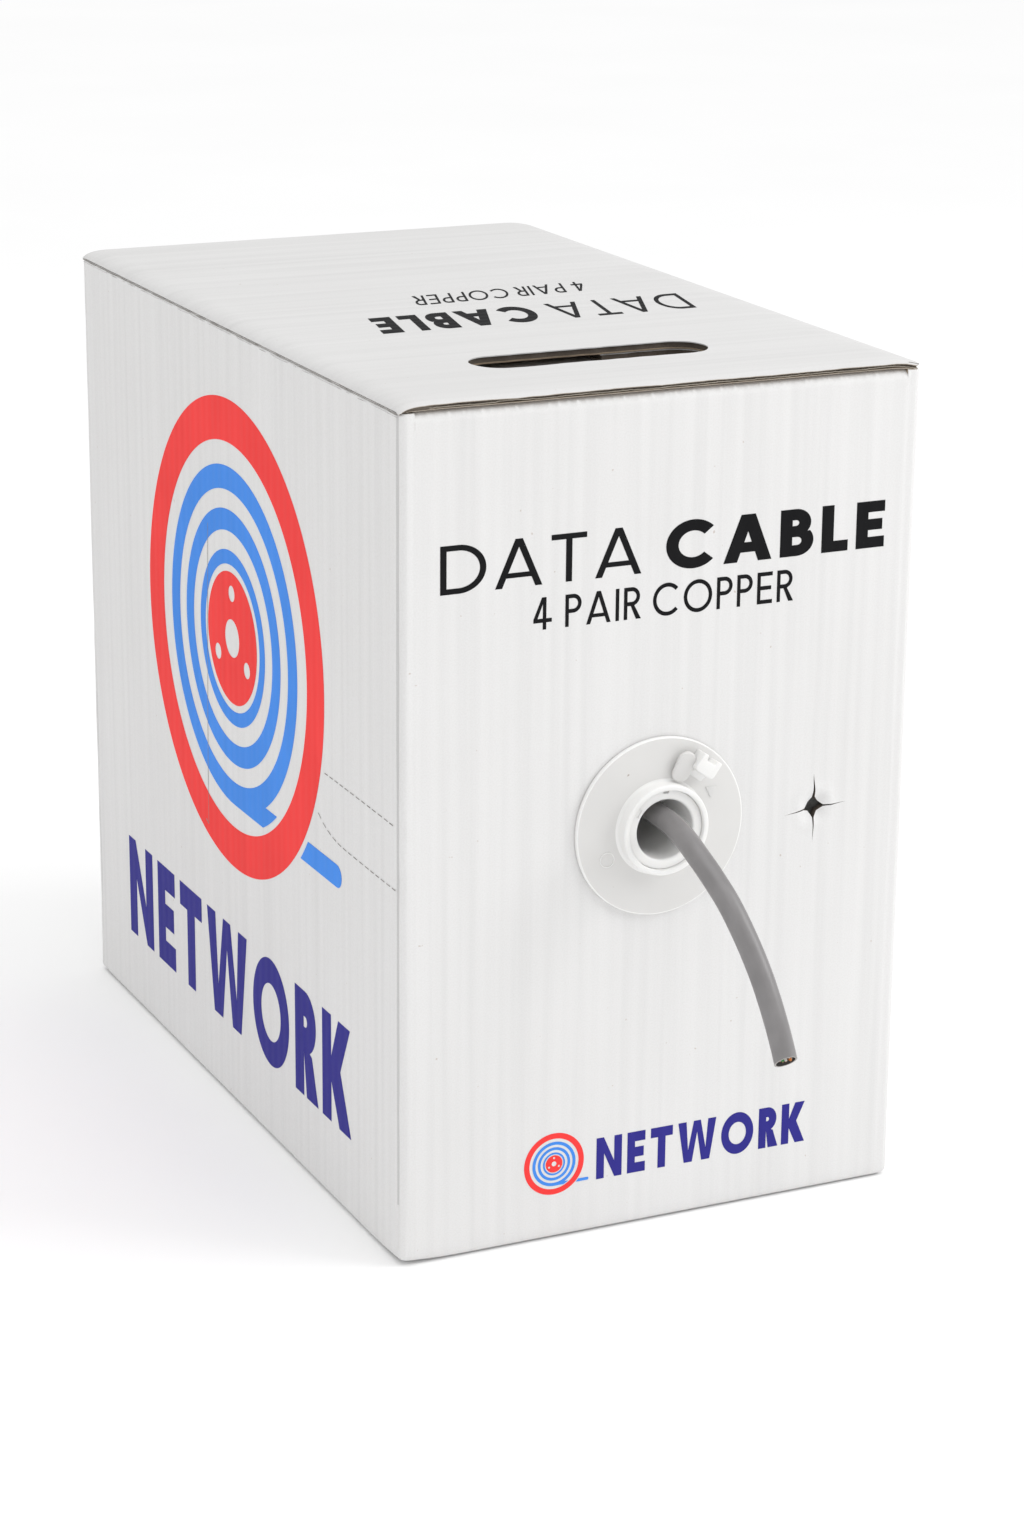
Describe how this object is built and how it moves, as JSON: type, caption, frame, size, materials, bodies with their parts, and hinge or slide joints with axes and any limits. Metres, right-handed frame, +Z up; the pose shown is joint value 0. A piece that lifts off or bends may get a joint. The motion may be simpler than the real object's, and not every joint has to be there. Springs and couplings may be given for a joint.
{
  "type": "cable spool box",
  "caption": "White corrugated carton holding a reel of data cable on an axle, paid out through a round plastic spout in the front panel, with a hand hole in its hinged top",
  "frame": {"origin": "middle of the face the carton stands on", "axes": "+X to the right as seen from the front, +Y from the spout's panel to the back, +Z up"},
  "size_m": [0.218, 0.4448, 0.34],
  "materials": {
    "white_board": "white-faced single-wall corrugated board, matt, with a faint washboard of its flutes",
    "kraft_board": "brown kraft board, matt",
    "plywood": "thin birch plywood, sanded, unvarnished",
    "white_plastic": "moulded white polypropylene, satin",
    "black_plastic": "moulded black nylon, satin",
    "zinc_steel": "bright zinc-plated steel",
    "cable_jacket": "smooth grey vinyl jacket, soft sheen"
  },
  "bodies": {
    "carton": {"front_panel": "white_board", "back_panel": "white_board", "left_panel": "white_board", "right_panel": "white_board", "glue_flap": "white_board", "bottom_outer_flap": "white_board", "bottom_inner_flap": "white_board", "bottom_front_flap": "white_board", "bottom_back_flap": "white_board", "spout_flange": "white_plastic", "spout_retaining_ring": "white_plastic", "axle_tube": "zinc_steel", "axle_spacer_left": "black_plastic", "axle_spacer_right": "black_plastic", "saddle_left": "kraft_board", "saddle_right": "kraft_board", "cable_lead": "cable_jacket", "cable_tail": "cable_jacket"},
    "reel": {"reel_flange_left": "plywood", "reel_flange_right": "plywood", "reel_barrel": "kraft_board", "cable_winding": "cable_jacket", "hub_bushing_left": "black_plastic", "hub_bushing_right": "black_plastic", "tie_bolt_1": "zinc_steel", "tie_washer_1": "zinc_steel", "tie_nut_1": "zinc_steel", "tie_bolt_2": "zinc_steel", "tie_washer_2": "zinc_steel", "tie_nut_2": "zinc_steel", "tie_bolt_3": "zinc_steel", "tie_washer_3": "zinc_steel", "tie_nut_3": "zinc_steel"},
    "payout_tube": {"payout_tube": "white_plastic"},
    "spout_latch": {"spout_latch": "white_plastic"},
    "top_outer_flap": {"top_outer_flap": "white_board"},
    "top_inner_flap": {"top_inner_flap": "white_board"},
    "top_front_flap": {"top_front_flap": "white_board"},
    "top_back_flap": {"top_back_flap": "white_board"}
  },
  "joints": [
    {"name": "top_outer_flap_hinge", "type": "hinge", "parent": "carton", "child": "top_outer_flap", "pos_m": [-0.106, 0, 0.337], "axis": [0, -1, 0], "range_deg": [0, 180]},
    {"name": "top_inner_flap_hinge", "type": "hinge", "parent": "carton", "child": "top_inner_flap", "pos_m": [0.106, 0, 0.3337], "axis": [0, 1, 0], "range_deg": [0, 180]},
    {"name": "top_front_flap_hinge", "type": "hinge", "parent": "carton", "child": "top_front_flap", "pos_m": [0, -0.175, 0.3337], "axis": [1, 0, 0], "range_deg": [0, 90]},
    {"name": "top_back_flap_hinge", "type": "hinge", "parent": "carton", "child": "top_back_flap", "pos_m": [0, 0.175, 0.3337], "axis": [-1, 0, 0], "range_deg": [0, 90]},
    {"name": "reel_spin", "type": "hinge", "parent": "carton", "child": "reel", "pos_m": [0, 0.024, 0.168], "axis": [1, 0, 0], "continuous": true},
    {"name": "payout_tube_twist", "type": "hinge", "parent": "carton", "child": "payout_tube", "pos_m": [-0.001, -0.175, 0.1665], "axis": [0, 1, 0], "range_deg": [0, 30]},
    {"name": "spout_latch_press", "type": "hinge", "parent": "carton", "child": "spout_latch", "pos_m": [0.00489, -0.1805, 0.18519], "axis": [-0.9537, 0, 0.3007], "range_deg": [0, 10], "stiffness_Nm_per_rad": 0.02}
  ],
  "couplings": [
    {"joint": "top_inner_flap_hinge", "follows": "top_outer_flap_hinge", "ratio": 1},
    {"joint": "top_front_flap_hinge", "follows": "top_outer_flap_hinge", "ratio": 0.5},
    {"joint": "top_back_flap_hinge", "follows": "top_outer_flap_hinge", "ratio": 0.5}
  ]
}
